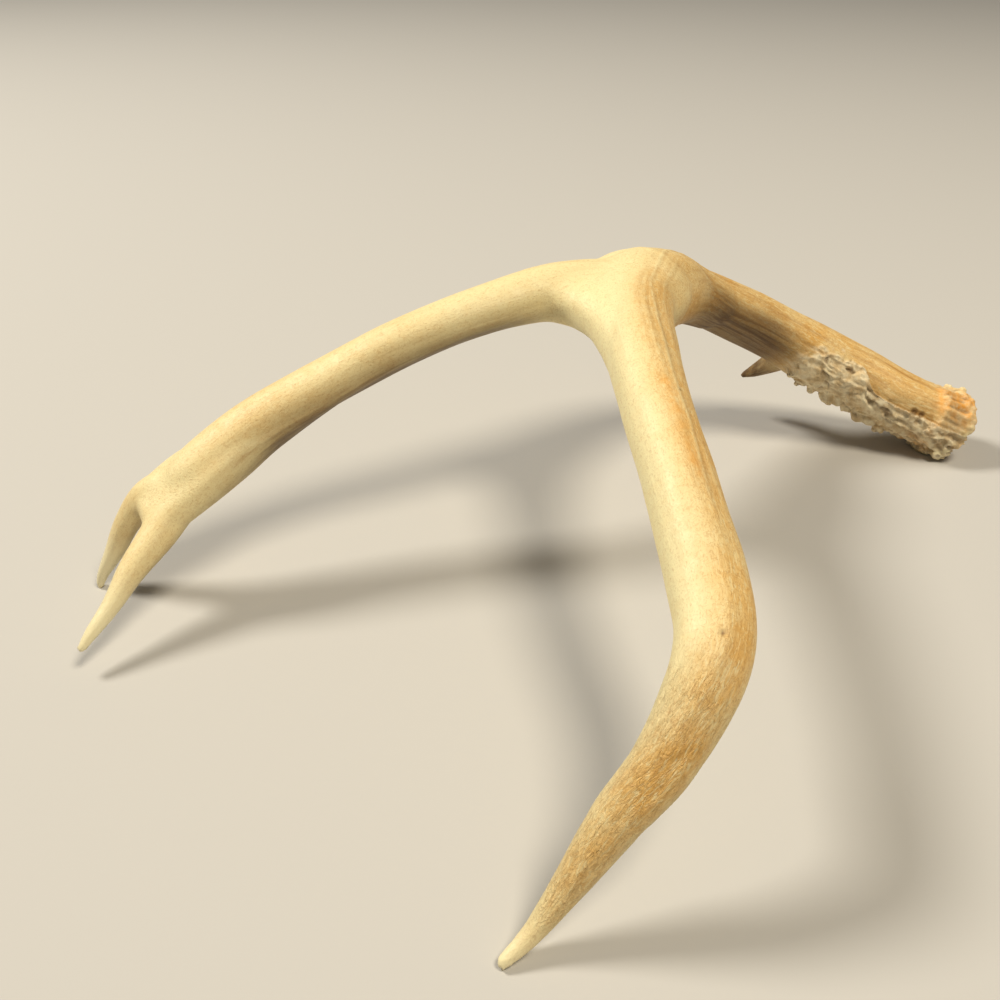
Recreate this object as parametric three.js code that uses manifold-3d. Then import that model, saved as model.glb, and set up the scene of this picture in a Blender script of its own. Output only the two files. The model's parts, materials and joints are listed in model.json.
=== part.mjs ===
// A shed deer antler, lying with its cupped side down. It is one grown length of bone that
// divides twice: the main beam rises from the burr to the first fork, where the front tine
// and the rear branch part, and the rear branch ends in a second fork of two short tines.
// It is built as five solids, parted at those forks.
//
// Millimetres, +Z up. X runs along the antler from the end fork to the burr, and the front
// tine sweeps towards -Y. The origin is on the ground, under the middle of the bounding box.
// The antler stands on three points: the burr's rim, the front tine's tip and the tip of the
// rear fork tine.

import * as THREE from 'three';
import { ParametricGeometry } from 'three/addons/geometries/ParametricGeometry.js';
import { mergeVertices } from 'three/addons/utils/BufferGeometryUtils.js';
import Module from 'manifold-3d';

const wasm = await Module();
wasm.setup();

// ---- driving dimensions -------------------------------------------------------------------

const THICKNESS_RATIO = 0.92;   // a limb's thickness over its width
const PART_GAP = 0.3;           // clearance between two solids that meet at a fork
const RING_STEP = 9;            // spacing of the sections along a limb
const LIMB_SIDES = 20;          // facets round a thick limb
const TINE_SIDES = 14;          // facets round a short tine

const BURR_RADIUS = 19.5;       // the knobbly collar where the antler sat on the skull
const BURR_DEPTH = 11;          // collar's length along its own axis
const SEAL_RADIUS = 13;         // flat face inside the collar, where it was shed
const BURR_CENTRE = new THREE.Vector3(208, 138, 17.5);
const BURR_AXIS = new THREE.Vector3(0.80, 0.24, -0.55).normalize();   // out of the seal
const BURR_SIDES = 36;

// Each limb is a list of sections: x, y, z of its centre, then its width there.
const FORK = [33, 108, 102];
const END_FORK = [-168, 20, 51];

const BEAM = [
  [...FORK, 35],
  [63, 141, 89, 32],
  [96, 152, 71.5, 32.5],
  [129, 154, 54, 34],
  [162, 150, 38, 34.5],
  [186, 143, 26.5, 34],
  [200, 140, 21, 34],
];

const FRONT_TINE = [
  [...FORK, 36],
  [26, 66, 107, 33],
  [24, 28, 108, 30],
  [25, -10, 104, 27.5],
  [29, -54, 94, 26.5],
  [33, -88, 82, 27],
  [31, -116, 73, 25],
  [15, -139, 52, 20],
  [-1, -149, 35, 16],
  [-13, -157.5, 20, 11.5],
  [-25, -166.5, 6.5, 7],
  [-33, -172, 1.9, 4.2],
];

const REAR_BRANCH = [
  [...FORK, 36],
  [-8, 91, 110, 28.5],
  [-46, 74, 105.5, 24],
  [-75, 64, 97, 24],
  [-105, 54, 84.5, 24.5],
  [-148, 33, 65.5, 25],
  [...END_FORK, 25],
  [-174, 14, 46, 18],
];

const FORK_TINE_FRONT = [
  [...END_FORK, 20],
  [-178, 1, 38, 16],
  [-187, -14, 29, 12],
  [-194, -28, 20, 8],
  [-199, -37, 15, 5.8],
  [-202, -43, 11.5, 3.6],
];

const FORK_TINE_REAR = [
  [...END_FORK, 19],
  [-187, 20, 44.5, 15.5],
  [-198, 18, 32, 12.5],
  [-206, 15.5, 18, 9.5],
  [-213.5, 13, 5.5, 5.2],
  [-215, 12, 1.3, 3.6],
];

const BROW_NUB = [
  [122, 158, 46, 15],
  [116, 170, 35, 10.5],
  [111, 176, 28.5, 7],
  [107, 178, 25.5, 3.6],
];

// A web of bone rounds off each crotch: between the front tine and the rear branch, and
// between the two fork tines.
const CROTCH_WEB = [
  [-11, 85.5, 108.5, 21.5],
  [3, 78.5, 108, 22.5],
  [13.5, 61, 108, 23],
  [19, 42, 108, 25.5],
];

const END_CROTCH_WEB = [
  [-186, 20, 44, 13],
  [-183, 13, 42.5, 14],
  [-178.5, 5, 40, 13.5],
];

// The rear branch widens towards its two tines.
const END_SHOULDER_FRONT = [
  [-138, 37, 68.5, 20],
  [-156, 20, 55, 20],
  [-174, 6, 42.5, 15],
];

const END_SHOULDER_REAR = [
  [-138, 37, 68.5, 20],
  [-158, 30, 60, 19],
  [-172, 25.5, 53.5, 17],
  [-182, 23, 48, 14],
];

// The fork's swelling runs out along the beam.
const FORK_SHOULDER = [
  [34, 109, 102, 47],
  [47, 124, 98.5, 41],
  [60, 137, 91, 35.5],
  [76, 145, 82, 31.5],
];

// The bone is full inside the first web, and the fork swells into a low hump. Each of these is an
// egg shape: its centre, then its half sizes.
const CROTCH_FILLING = [[12, 87, 107.5], [20, 18, 11.5]];
const FORK_HUMP = [[30, 105, 104], [27, 25, 19.5]];

// Where each limb leaves the solid it grows from, as lengths along its own centre line.
const FRONT_TINE_PARTS_AT = 88;
const REAR_BRANCH_PARTS_AT = 60;
const FORK_TINES_PART_AT = 28;

// ---- solids ------------------------------------------------------------------------------

// Turns a closed three.js geometry into a solid.
function solidFrom(geometry) {
  const plain = geometry.index ? geometry.toNonIndexed() : geometry.clone();
  plain.deleteAttribute('normal');
  plain.deleteAttribute('uv');
  const merged = mergeVertices(plain, 1e-3);
  const corners = [];
  for (let i = 0; i < merged.index.count; i += 3) {
    const [a, b, c] = [0, 1, 2].map((k) => merged.index.getX(i + k));
    if (a !== b && b !== c && c !== a) {
      corners.push(a, b, c);
    }
  }
  const vertProperties = new Float32Array(merged.attributes.position.array);
  const mesh = new wasm.Mesh({ numProp: 3, vertProperties, triVerts: new Uint32Array(corners) });
  return new wasm.Manifold(mesh);
}

// Turns a solid back into a three.js geometry.
function geometryFrom(solid) {
  const { vertProperties, triVerts } = solid.getMesh();
  const geometry = new THREE.BufferGeometry();
  geometry.setAttribute('position', new THREE.BufferAttribute(vertProperties, 3));
  geometry.setIndex(new THREE.BufferAttribute(triVerts, 1));
  geometry.computeVertexNormals();
  return geometry;
}

// A limb of oval sections from one length along its centre line to another. A limb that runs
// to its last section ends there in a rounded tip, and otherwise in a flat face.
function limb(sections, { from = 0, to = Infinity, sides = LIMB_SIDES } = {}) {
  const line = new THREE.CatmullRomCurve3(
    sections.map(([x, y, z]) => new THREE.Vector3(x, y, z)), false, 'centripetal');
  line.arcLengthDivisions = 400;
  const length = line.getLength();
  const end = Math.min(to, length);
  const rings = Math.max(2, Math.ceil((end - from) / RING_STEP));
  const rows = rings + 2;
  const up = new THREE.Vector3(0, 0, 1);

  const surface = (around, along, target) => {
    const row = Math.round(along * rows);
    const ring = THREE.MathUtils.clamp(row - 1, 0, rings);
    const place = THREE.MathUtils.lerp(from, end, ring / rings) / length;
    const t = line.getUtoTmapping(place);
    const tangent = line.getTangent(t);
    const side = new THREE.Vector3().crossVectors(tangent, up).normalize();
    const over = new THREE.Vector3().crossVectors(side, tangent);
    const spline = t * (sections.length - 1);
    const first = Math.min(Math.floor(spline), sections.length - 2);
    const half = 0.5 * THREE.MathUtils.lerp(
      sections[first][3], sections[first + 1][3], spline - first);
    target.copy(line.getPoint(t));
    if (row === 0) {
      return;
    }
    if (row === rows) {
      const domed = end === length ? half * 0.8 : 0;
      target.addScaledVector(tangent, domed);
      return;
    }
    const angle = -around * 2 * Math.PI;
    target.addScaledVector(side, half * Math.cos(angle));
    target.addScaledVector(over, half * THICKNESS_RATIO * Math.sin(angle));
  };
  return solidFrom(new ParametricGeometry(surface, sides, rows));
}

// The burr: a rounded collar turned about its own axis, with the flat seal face outside.
function burr() {
  const profile = [
    [0, BURR_DEPTH + 7],
    [BURR_RADIUS - 4, BURR_DEPTH],
    [BURR_RADIUS - 1, BURR_DEPTH - 2.5],
    [BURR_RADIUS, BURR_DEPTH - 5],
    [BURR_RADIUS - 0.6, 2.2],
    [BURR_RADIUS - 2.8, 0.5],
    [SEAL_RADIUS, 0],
    [0, 0],
  ].map(([radius, height]) => new THREE.Vector2(radius, height)).reverse();
  const turned = new THREE.LatheGeometry(profile, BURR_SIDES);
  const inward = BURR_AXIS.clone().negate();
  const turn = new THREE.Quaternion().setFromUnitVectors(new THREE.Vector3(0, 1, 0), inward);
  turned.applyQuaternion(turn);
  const seal = BURR_CENTRE.clone().addScaledVector(BURR_AXIS, BURR_DEPTH / 2);
  turned.translate(seal.x, seal.y, seal.z);
  return solidFrom(turned);
}

// An egg shape of bone.
function swelling([centre, halfSizes]) {
  const ball = new THREE.SphereGeometry(1, LIMB_SIDES, 12);
  ball.rotateX(Math.PI / 2);
  ball.scale(...halfSizes);
  ball.translate(...centre);
  return solidFrom(ball);
}

// ---- the five solids ---------------------------------------------------------------------

function mainBeam() {
  const halfGap = PART_GAP / 2;
  return limb(BEAM)
    .add(burr())
    .add(swelling(FORK_HUMP))
    .add(limb(FORK_SHOULDER))
    .add(limb(CROTCH_WEB, { sides: TINE_SIDES }))
    .add(swelling(CROTCH_FILLING))
    .add(limb(BROW_NUB, { sides: TINE_SIDES }))
    .add(limb(FRONT_TINE, { to: FRONT_TINE_PARTS_AT - halfGap }))
    .add(limb(REAR_BRANCH, { to: REAR_BRANCH_PARTS_AT - halfGap }));
}

function rearBranch() {
  const halfGap = PART_GAP / 2;
  const root = { to: FORK_TINES_PART_AT - halfGap, sides: TINE_SIDES };
  return limb(REAR_BRANCH, { from: REAR_BRANCH_PARTS_AT + halfGap })
    .add(limb(FORK_TINE_FRONT, root))
    .add(limb(FORK_TINE_REAR, root))
    .add(limb(END_CROTCH_WEB, { sides: TINE_SIDES }))
    .add(limb(END_SHOULDER_FRONT, { sides: TINE_SIDES }))
    .add(limb(END_SHOULDER_REAR, { sides: TINE_SIDES }));
}

function beyond(sections, length, sides) {
  return limb(sections, { from: length + PART_GAP / 2, sides });
}

const BONE = { roughness: 0.62, metalness: 0 };
const antler = new THREE.Group();

function addPart(name, solid, color) {
  const mesh = new THREE.Mesh(
    geometryFrom(solid), new THREE.MeshStandardMaterial({ ...BONE, color }));
  mesh.name = name;
  antler.add(mesh);
}

addPart('main_beam', mainBeam(), '#d3ab68');
addPart('front_tine', beyond(FRONT_TINE, FRONT_TINE_PARTS_AT, LIMB_SIDES), '#d9b371');
addPart('rear_branch', rearBranch(), '#e0c184');
addPart('fork_tine_front', beyond(FORK_TINE_FRONT, FORK_TINES_PART_AT, TINE_SIDES), '#e6cd92');
addPart('fork_tine_rear', beyond(FORK_TINE_REAR, FORK_TINES_PART_AT, TINE_SIDES), '#e6cd92');

// Settle the antler on the ground, with the origin under the middle of its bounding box.
const box = new THREE.Box3().setFromObject(antler);
const centre = box.getCenter(new THREE.Vector3());
antler.position.set(-centre.x, -centre.y, -box.min.z);

export default antler;
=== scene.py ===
"""A shed deer antler, lying cupped side down on a pale floor.

The antler is grown as one skin: oval limbs are lofted along their centre lines, fused, and
filled where they fork. Its grooves, pearls, pits and scars are then sculpted into that skin,
which is parted at the same forks as the solid model. Each part stands for one of its nodes.

Lengths are millimetres in the sections' own frame, up to the last step, which settles the
skin in the model's frame and turns it to metres.
"""

import json

import bmesh
import bpy
import numpy as np
from bpy.props import FloatProperty, FloatVectorProperty, PointerProperty
from mathutils import Matrix, Vector

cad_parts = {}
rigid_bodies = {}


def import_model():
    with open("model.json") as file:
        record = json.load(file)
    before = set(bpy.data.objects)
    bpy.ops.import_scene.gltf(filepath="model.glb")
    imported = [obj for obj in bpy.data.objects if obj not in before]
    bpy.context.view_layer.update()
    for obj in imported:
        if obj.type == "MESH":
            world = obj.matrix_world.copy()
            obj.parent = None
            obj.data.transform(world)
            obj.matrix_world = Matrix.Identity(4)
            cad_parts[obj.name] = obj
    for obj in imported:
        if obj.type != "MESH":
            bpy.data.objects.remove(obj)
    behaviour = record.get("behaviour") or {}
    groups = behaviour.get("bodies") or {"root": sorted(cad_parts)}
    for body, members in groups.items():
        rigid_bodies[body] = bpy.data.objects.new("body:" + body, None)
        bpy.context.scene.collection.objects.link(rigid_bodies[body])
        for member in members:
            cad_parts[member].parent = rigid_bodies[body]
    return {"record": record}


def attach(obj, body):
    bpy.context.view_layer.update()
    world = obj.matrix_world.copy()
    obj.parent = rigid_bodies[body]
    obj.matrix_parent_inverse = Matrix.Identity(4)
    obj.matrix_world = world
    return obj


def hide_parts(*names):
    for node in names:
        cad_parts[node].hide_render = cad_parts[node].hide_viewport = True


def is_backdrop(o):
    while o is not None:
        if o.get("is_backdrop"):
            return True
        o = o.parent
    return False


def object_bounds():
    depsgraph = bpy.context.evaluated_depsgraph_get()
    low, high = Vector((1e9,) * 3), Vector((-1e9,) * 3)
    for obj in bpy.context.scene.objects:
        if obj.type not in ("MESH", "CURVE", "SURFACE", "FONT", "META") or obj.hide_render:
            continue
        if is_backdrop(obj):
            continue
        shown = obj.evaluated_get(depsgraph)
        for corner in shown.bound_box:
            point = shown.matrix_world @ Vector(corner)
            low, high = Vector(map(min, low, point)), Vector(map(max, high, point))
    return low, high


bl_info = {
    "name": "Shed Deer Antler",
    "version": (1, 0, 0),
    "blender": (4, 5, 0),
    "location": "View3D > Sidebar > Antler",
    "description": "Grows a shed deer antler, parts it at its forks and lights it",
    "category": "Add Mesh",
}

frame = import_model()
CAD_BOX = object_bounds()

MM = 0.001
UP = np.array([0.0, 0.0, 1.0])
SEED = 20

# ---- sections of the limbs: x, y, z of the centre, then the width -----------------------------

FORK = [33, 108, 102]
END_FORK = [-168, 20, 51]

BEAM = [
    [*FORK, 35],
    [63, 141, 89, 32],
    [96, 152, 71.5, 32.5],
    [129, 154, 54, 34],
    [162, 150, 38, 34.5],
    [186, 143, 26.5, 34],
    [200, 140, 21, 34],
]

FRONT_TINE = [
    [*FORK, 36],
    [26, 66, 107, 33],
    [24, 28, 108, 30],
    [25, -10, 104, 27.5],
    [29, -54, 94, 26.5],
    [33, -88, 82, 27],
    [31, -116, 73, 25],
    [15, -139, 52, 20],
    [-1, -149, 35, 16],
    [-13, -157.5, 20, 11.5],
    [-25, -166.5, 6.5, 7],
    [-33, -172, 1.9, 4.2],
]

REAR_BRANCH = [
    [*FORK, 36],
    [-8, 91, 110, 28.5],
    [-46, 74, 105.5, 24],
    [-75, 64, 97, 24],
    [-105, 54, 84.5, 24.5],
    [-148, 33, 65.5, 25],
    [*END_FORK, 25],
    [-174, 14, 46, 18],
]

FORK_TINE_FRONT = [
    [*END_FORK, 20],
    [-178, 1, 38, 16],
    [-187, -14, 29, 12],
    [-194, -28, 20, 8],
    [-199, -37, 15, 5.8],
    [-202, -43, 11.5, 3.6],
]

FORK_TINE_REAR = [
    [*END_FORK, 19],
    [-187, 20, 44.5, 15.5],
    [-198, 18, 32, 12.5],
    [-206, 15.5, 18, 9.5],
    [-213.5, 13, 5.5, 5.2],
    [-215, 12, 1.3, 3.6],
]

BROW_NUB = [
    [122, 158, 46, 15],
    [116, 170, 35, 10.5],
    [111, 176, 28.5, 7],
    [107, 178, 25.5, 3.6],
]

CROTCH_WEB = [
    [-11, 85.5, 108.5, 21.5],
    [3, 78.5, 108, 22.5],
    [13.5, 61, 108, 23],
    [19, 42, 108, 25.5],
    [23, 20, 107, 27],
]

END_CROTCH_WEB = [
    [-186, 20, 44, 13],
    [-183, 13, 42.5, 14],
    [-178.5, 5, 40, 13.5],
]

END_SHOULDER_FRONT = [
    [-108, 51, 82, 21],
    [-134, 37, 68, 21.5],
    [-156, 20, 55, 20],
    [-174, 6, 42.5, 15],
]

END_SHOULDER_REAR = [
    [-112, 50, 81, 21],
    [-138, 38.5, 70, 21.5],
    [-158, 30, 60, 19],
    [-172, 25.5, 53.5, 17],
    [-182, 23, 48, 14],
]

FORK_SHOULDER = [
    [34, 109, 102, 47],
    [47, 124, 98.5, 41],
    [60, 137, 91, 35.5],
    [76, 145, 82, 31.5],
]

THICKNESS_RATIO = 0.92

# Egg-shaped swellings at the first fork: the centre, then the half sizes.
CROTCH_FILLING = ([12, 87, 107.5], [20, 18, 11.5])
FORK_HUMP = ([30, 105, 104], [27, 25, 19.5])

BURR_CENTRE = np.array([208, 138, 17.5])
BURR_RADIUS = 19.5
BURR_DEPTH = 11

# Where each limb parts from the bone that it grows from, along its own centre line.
FRONT_TINE_PARTS_AT = 88
REAR_BRANCH_PARTS_AT = 60
FORK_TINES_PART_AT = 28

# The model's one mount is the seal, the flat face inside the burr, which places the sections.
SEAL = frame["record"]["mounts"][0]
BURR_AXIS = np.array(SEAL["axis"])
SETTLE = np.array(SEAL["pos_m"]) / MM - (BURR_CENTRE + BURR_AXIS * BURR_DEPTH / 2)


# ---- settings a user would change -------------------------------------------------------------


def linear(code):
    """An sRGB hex colour as linear red, green, blue and alpha."""
    values = [int(code[i : i + 2], 16) / 255 for i in (1, 3, 5)]
    return [v / 12.92 if v <= 0.04045 else ((v + 0.055) / 1.055) ** 2.4 for v in values] + [1.0]


def colour_property(name, description, code):
    return FloatVectorProperty(
        name=name, description=description, subtype="COLOR", size=4, min=0, max=1, default=linear(code)
    )


class AntlerShape(bpy.types.PropertyGroup):
    """Sizes of the skin and of what is sculpted into it."""

    skin_grid: FloatProperty(
        name="Skin Grid", description="Spacing of the skin's mesh in millimetres", default=1.1, min=0.5
    )
    pearl_height: FloatProperty(
        name="Pearl Height", description="How far the pearls stand up, in millimetres", default=1.0, min=0
    )
    groove_depth: FloatProperty(
        name="Groove Depth",
        description="Depth of the beam's long grooves, in millimetres",
        default=0.5,
        min=0,
    )


class AntlerColours(bpy.types.PropertyGroup):
    """Colours of the dry bone."""

    cream: colour_property("Cream", "Clean bone", "#F4E8B4")
    ivory: colour_property("Ivory", "Rubbed bone and raised vessels", "#F8EEC4")
    tan: colour_property("Tan", "Bone stained by bark and soil", "#E2B05C")
    umber: colour_property("Umber", "Stain in fibres and grooves", "#AE7830")
    brown: colour_property("Brown", "Dirt in pits", "#66421A")
    # Painted shade: this dark brown stands both for the undersides' real brown stain and for the shade that
    # falls on them.
    bark: colour_property("Bark", "Rough, stained underside", "#4C2E04")
    pearl: colour_property("Pearl", "Pale tops of the pearls", "#F8EAC6")
    ash: colour_property("Ash", "Greyer bone between the pearls", "#DCC294")
    rust: colour_property("Rust", "Orange stain at the burr", "#E89C26")


class AntlerStage(bpy.types.PropertyGroup):
    """The floor, the light and the camera."""

    floor: colour_property("Floor", "Pale studio floor", "#C4C1BC")
    sky: FloatProperty(name="Sky", description="Strength of the light from all round", default=0.2, min=0)
    key: FloatProperty(name="Key", description="Light from behind on the left", default=74, unit="POWER")
    fill: FloatProperty(name="Fill", description="Light from the right in front", default=66, unit="POWER")
    eye_height: FloatProperty(
        name="Eye Height", description="Camera's height over the floor", default=0.280, unit="LENGTH"
    )
    tilt: FloatProperty(
        name="Tilt", description="Camera's turn up from straight down, in degrees", default=57
    )
    lens: FloatProperty(name="Lens", description="Camera's focal length", default=36, unit="CAMERA")


# ---- limbs ------------------------------------------------------------------------------------


def rise(values, low, high):
    """A smooth step from 0 at low to 1 at high."""
    t = np.clip((values - low) / (high - low), 0, 1)
    return t * t * (3 - 2 * t)


def bell(values, centre, width):
    return np.exp(-(((values - centre) / width) ** 2))


def turned(angle, centre):
    """Angles in degrees, counted from a centre, between -180 and 180."""
    return (angle - centre + 180) % 360 - 180


def unit(vectors):
    return vectors / np.maximum(np.linalg.norm(vectors, axis=-1, keepdims=True), 1e-9)


def smooth_line(sections, step=1.0):
    """Samples of a centripetal Catmull-Rom line through the sections, about a step apart."""
    rows = np.array(sections, float)
    rows = np.vstack([2 * rows[0] - rows[1], rows, 2 * rows[-1] - rows[-2]])
    samples = []
    for a, b, c, d in zip(rows, rows[1:], rows[2:], rows[3:]):
        before, here, after = (np.linalg.norm(q[:3] - p[:3]) ** 0.5 for p, q in ((a, b), (b, c), (c, d)))
        leave = ((b - a) / before - (c - a) / (before + here) + (c - b) / here) * here
        arrive = ((c - b) / here - (d - b) / (here + after) + (d - c) / after) * here
        count = max(2, round(here * here / step))
        t = np.linspace(0, 1, count, endpoint=False)[:, None]
        samples.append(
            b * (2 * t**3 - 3 * t**2 + 1)
            + leave * (t**3 - 2 * t**2 + t)
            + c * (3 * t**2 - 2 * t**3)
            + arrive * (t**3 - t**2)
        )
    return np.vstack([*samples, rows[-2]])


class Limb:
    """A length of bone: its centre line, and the frame of its oval section at each sample."""

    def __init__(self, sections):
        line = smooth_line(sections)
        self.points = line[:, :3]
        self.half = line[:, 3] / 2
        steps = np.linalg.norm(np.diff(self.points, axis=0), axis=1)
        self.along = np.concatenate([[0], np.cumsum(steps)])
        self.length = self.along[-1]
        self.tangent = unit(np.gradient(self.points, axis=0))
        self.side = unit(np.cross(self.tangent, UP))
        self.over = np.cross(self.side, self.tangent)

    def sample(self, along):
        return int(np.searchsorted(self.along, min(along, self.length)))

    def places(self, points):
        """Where points lie on the limb: along, to the side, over, and distance in half widths."""
        size = (self.points**2).sum(1)
        nearest = np.concatenate(
            [(size - 2 * part @ self.points.T).argmin(1) for part in np.array_split(points, 40)]
        )
        offset = points - self.points[nearest]
        along = self.along[nearest] + (offset * self.tangent[nearest]).sum(1)
        side = (offset * self.side[nearest]).sum(1)
        over = (offset * self.over[nearest]).sum(1)
        return along, side, over, np.linalg.norm(offset, axis=1) / self.half[nearest]


def ring(bm, limb, along, share=1.0, push=0.0, sides=44, cap=False):
    """One oval section of a limb, as a closed loop of edges."""
    i = limb.sample(along)
    half = limb.half[i] * share
    centre = limb.points[i] + limb.tangent[i] * push
    axes = np.column_stack(
        [limb.side[i] * half, limb.over[i] * half * THICKNESS_RATIO, limb.tangent[i] * half, centre]
    )
    matrix = Matrix([*axes.tolist(), [0, 0, 0, 1]])
    made = bmesh.ops.create_circle(bm, segments=sides, radius=1, matrix=matrix, cap_ends=cap)
    return list({edge for vert in made["verts"] for edge in vert.link_edges})


def loft_limb(bm, limb, spacing=3.0):
    """A closed limb with a flat root and a domed tip."""
    rings = [ring(bm, limb, along, cap=bool(along == 0)) for along in np.arange(0, limb.length, spacing)]
    for turn in (0, 30, 55, 75, 86):
        lift, share = np.sin(np.radians(turn)), np.cos(np.radians(turn))
        rings.append(ring(bm, limb, limb.length, share, lift * limb.half[-1], cap=turn == 86))
    for low, high in zip(rings, rings[1:]):
        bmesh.ops.bridge_loops(bm, edges=low + high)


def egg(bm, centre, half_sizes):
    """An egg-shaped swelling."""
    matrix = Matrix.Translation(centre) @ Matrix.Diagonal([*half_sizes, 1])
    bmesh.ops.create_uvsphere(bm, u_segments=32, v_segments=20, radius=1, matrix=matrix)


LIMBS = {
    name: Limb(sections)
    for name, sections in {
        "beam": BEAM,
        "front": FRONT_TINE,
        "rear": REAR_BRANCH,
        "end_front": FORK_TINE_FRONT,
        "end_rear": FORK_TINE_REAR,
        "brow": BROW_NUB,
    }.items()
}


WEBS = [
    Limb(sections)
    for sections in (CROTCH_WEB, END_CROTCH_WEB, END_SHOULDER_FRONT, END_SHOULDER_REAR, FORK_SHOULDER)
]


def burr_frame():
    """Turns the Z axis to the burr's inward axis, with its origin on the seal."""
    turn = Vector(-BURR_AXIS).to_track_quat("Z", "Y").to_matrix().to_4x4()
    return Matrix.Translation(BURR_CENTRE + BURR_AXIS * BURR_DEPTH / 2) @ turn


def turn_burr(bm):
    """The collar at the antler's foot, spun about its own axis."""
    profile = [
        (0, -0.6),
        (8, -0.4),
        (13, 0),
        (16.2, 0.6),
        (18.6, 2.2),
        (BURR_RADIUS, 4.6),
        (18.8, 7.0),
        (17.0, 9.0),
        (15.6, 13.0),
        (14.5, 20.0),
        (0, 26.0),
    ]
    place = burr_frame()
    verts = [bm.verts.new(place @ Vector((radius, 0, height))) for radius, height in profile]
    edges = [bm.edges.new(pair) for pair in zip(verts, verts[1:])]
    axis = place.to_3x3() @ Vector((0, 0, 1))
    bmesh.ops.spin(
        bm,
        geom=verts + edges,
        cent=place.translation,
        axis=axis,
        angle=2 * np.pi,
        steps=48,
        use_merge=True,
    )
    bmesh.ops.remove_doubles(bm, verts=bm.verts[-48 * len(profile) :], dist=1e-4)


# ---- pearls -----------------------------------------------------------------------------------

# Nubs that hang from the beam's low edge near the burr: the length along the beam, the angle
# round it from level, and the radius.
NUBS = [
    (122, -46, 2.6),
    (131, -62, 3.2),
    (140, -72, 3.0),
    (150, -62, 4.4),
    (154, -50, 3.2),
    (163, -66, 3.0),
    (171, -58, 4.4),
    (176, -48, 3.4),
    (184, -64, 3.2),
]
FOOT_NUB = ([205, 126.5, 4.6], 3.6)


def knob(bm, centre, axes):
    """A rounded knob whose half axes are the three given vectors."""
    matrix = Matrix([*np.column_stack([*axes, centre]).tolist(), [0, 0, 0, 1]])
    bmesh.ops.create_icosphere(bm, subdivisions=2, radius=1, matrix=matrix)


def round_knob(bm, centre, radius, rng):
    """A knob with three slightly different, randomly turned half axes."""
    turn = np.linalg.qr(rng.normal(size=(3, 3)))[0]
    knob(bm, centre, turn * radius * rng.uniform(0.8, 1.2, (3, 1)))


def grow_pearls(bm, rng):
    """The knobs round the burr's rim and over the beam above it."""
    place = np.array(burr_frame())
    across, along_burr, origin = place[:3, :2].T, place[:3, 2], place[:3, 3]
    count = 21
    for turn in (np.arange(count) + rng.uniform(-0.35, 0.35, count)) * 2 * np.pi / count:
        way = across[0] * np.cos(turn) + across[1] * np.sin(turn)
        centre = origin + way * (BURR_RADIUS - rng.uniform(0.2, 2.2)) + along_burr * rng.uniform(2, 5)
        radius = rng.uniform(1.5, 3.1)
        if centre[2] - radius > 0.6:
            round_knob(bm, centre, radius, rng)

    beam = LIMBS["beam"]

    def outward(along, degrees):
        i = beam.sample(along)
        turn = np.radians(degrees)
        return i, beam.side[i] * np.cos(turn) + beam.over[i] * np.sin(turn) * THICKNESS_RATIO

    for along in np.arange(120, 178, 1.5):
        low = -78 - 60 * rise(along, 130, 165)
        i, out = outward(along + rng.uniform(-2, 2), rng.uniform(low, 22))
        radius = rng.uniform(1.5, 3.0) * (0.7 + 0.3 * rise(along, 120, 140))
        centre = beam.points[i] + out * (beam.half[i] - 0.55 * radius)
        lean = unit(beam.tangent[i] + np.cross(beam.tangent[i], out) * rng.uniform(-0.35, 0.35))
        stretch = rng.uniform(1.6, 3.2)
        knob(bm, centre, [lean * radius * stretch, np.cross(out, lean) * radius, out * radius])
    for along, degrees, radius in NUBS:
        i, out = outward(along, degrees)
        centre = beam.points[i] + out * (beam.half[i] + 0.25 * radius)
        round_knob(bm, centre, radius, rng)
    round_knob(bm, np.array(FOOT_NUB[0]), FOOT_NUB[1], rng)


# ---- growing the skin -------------------------------------------------------------------------


def new_object(name, mesh):
    obj = bpy.data.objects.new(name, mesh)
    bpy.context.scene.collection.objects.link(obj)
    return obj


def fused_skin(grid):
    """All the limbs and swellings as one closed skin."""
    bm = bmesh.new()
    for limb in (*LIMBS.values(), *WEBS):
        loft_limb(bm, limb)
    egg(bm, *CROTCH_FILLING)
    egg(bm, *FORK_HUMP)
    turn_burr(bm)
    grow_pearls(bm, np.random.default_rng(SEED))
    bmesh.ops.recalc_face_normals(bm, faces=bm.faces)
    mesh = bpy.data.meshes.new("limbs")
    bm.to_mesh(mesh)
    bm.free()
    obj = new_object("limbs", mesh)
    fuse = obj.modifiers.new("Fuse", "REMESH")
    fuse.mode = "VOXEL"
    fuse.voxel_size = grid
    bpy.context.view_layer.update()
    skin = bpy.data.meshes.new_from_object(obj.evaluated_get(bpy.context.evaluated_depsgraph_get()))
    bpy.data.objects.remove(obj)
    return skin


def points_of(mesh):
    points = np.empty(len(mesh.vertices) * 3)
    mesh.vertices.foreach_get("co", points)
    return points.reshape(-1, 3)


def normals_of(mesh):
    normals = np.empty(len(mesh.vertices) * 3)
    mesh.vertex_normals.foreach_get("vector", normals)
    return normals.reshape(-1, 3)


def edges_of(mesh):
    edges = np.empty(len(mesh.edges) * 2, int)
    mesh.edges.foreach_get("vertices", edges)
    return edges.reshape(-1, 2)


def set_points(mesh, points):
    mesh.vertices.foreach_set("co", points.ravel())
    mesh.update()


def neighbour_mean(values, edges):
    """The mean of each vertex's neighbours."""
    count = len(values)
    ends, others = np.concatenate([edges, edges[:, ::-1]]).T
    share = np.maximum(np.bincount(ends, minlength=count), 1)
    sums = [np.bincount(ends, values[others, k], minlength=count) for k in range(values.shape[1])]
    return np.column_stack(sums) / share[:, None]


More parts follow.
